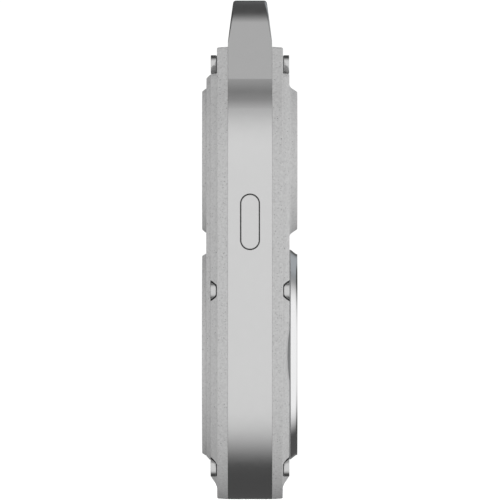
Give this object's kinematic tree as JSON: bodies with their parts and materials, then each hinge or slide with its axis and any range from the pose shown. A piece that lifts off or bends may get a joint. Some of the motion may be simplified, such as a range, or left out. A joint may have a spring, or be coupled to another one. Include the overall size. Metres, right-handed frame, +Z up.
{
  "type": "video doorbell",
  "caption": "Slim battery video doorbell with a hanging loop, a metal side band, a round bell button in a polished ring, and a twist-off battery cover at the back.",
  "frame": {"origin": "centre of the wall boss's flat rear face, the upper of the two round faces that rest against the wall", "axes": "+Z up, the front with the camera and the bell button faces -Y, +Y goes into the wall, +X is to the right seen from the front"},
  "size_m": [0.071, 0.0253, 0.1329],
  "materials": {
    "satin_aluminium": "fine satin, anodised",
    "polished_steel": "polished",
    "screw_steel": "smooth, plated",
    "spring_steel": "drawn wire",
    "speckled_plastic": "matt, light grey with fine darker specks",
    "button_plastic": "semi-gloss",
    "inner_plastic": "moulded",
    "black_plastic": "satin black",
    "dark_glass": "tinted, polished",
    "diffuser": "milky, light-diffusing",
    "seal_rubber": "smooth",
    "board": "solder mask",
    "gold_plate": "plated",
    "cell_wrap": "shrink film"
  },
  "bodies": {
    "housing": {"band_frame": "satin_aluminium", "front_shell": "speckled_plastic", "rear_shell": "speckled_plastic", "front_gasket": "seal_rubber", "rear_gasket": "seal_rubber", "back_plate": "speckled_plastic", "wall_boss": "speckled_plastic", "camera_window": "dark_glass", "camera_mask": "black_plastic", "lens_barrel": "black_plastic", "front_lens": "dark_glass", "lens_holder": "black_plastic", "image_sensor": "dark_glass", "camera_board": "board", "infrared_lamp_left": "dark_glass", "infrared_lamp_right": "dark_glass", "trim_ring": "polished_steel", "light_ring": "diffuser", "button_guide": "inner_plastic", "light_board": "board", "bell_spring": "spring_steel", "bell_switch": "black_plastic", "side_switch": "black_plastic", "side_board": "board", "main_board": "board", "shield_can": "screw_steel", "antenna": "gold_plate", "speaker": "black_plastic", "microphone": "screw_steel", "microphone_boot": "seal_rubber", "battery_tray": "inner_plastic", "battery_pack": "cell_wrap", "battery_contact_plus": "gold_plate", "battery_contact_minus": "gold_plate", "front_screw_top": "screw_steel", "front_screw_side_left": "screw_steel", "front_screw_side_right": "screw_steel", "front_screw_bottom_left": "screw_steel", "front_screw_bottom_right": "screw_steel", "rear_screw_top": "screw_steel", "rear_screw_side_left": "screw_steel", "rear_screw_side_right": "screw_steel", "rear_screw_bottom_left": "screw_steel", "rear_screw_bottom_right": "screw_steel"},
    "bell": {"bell_button": "button_plastic", "bell_plunger": "inner_plastic"},
    "side_key": {"side_button": "satin_aluminium", "side_plunger": "inner_plastic"},
    "cover": {"battery_cover": "speckled_plastic", "battery_cover_seal": "seal_rubber"}
  },
  "joints": [
    {"name": "bell_press", "type": "slide", "parent": "housing", "child": "bell", "axis": [0, 1, 0], "range_m": [0, 0.0008], "stiffness_N_per_m": 1500, "springref_m": -0.0005, "deforming": ["bell_spring"]},
    {"name": "side_press", "type": "slide", "parent": "housing", "child": "side_key", "axis": [1, 0, 0], "range_m": [0, 0.0005], "stiffness_N_per_m": 2000, "springref_m": -0.0003},
    {"name": "cover_twist", "type": "hinge", "parent": "housing", "child": "cover", "pos_m": [0, 0, -0.0517], "axis": [0, 1, 0], "range_deg": [0, 25]}
  ]
}
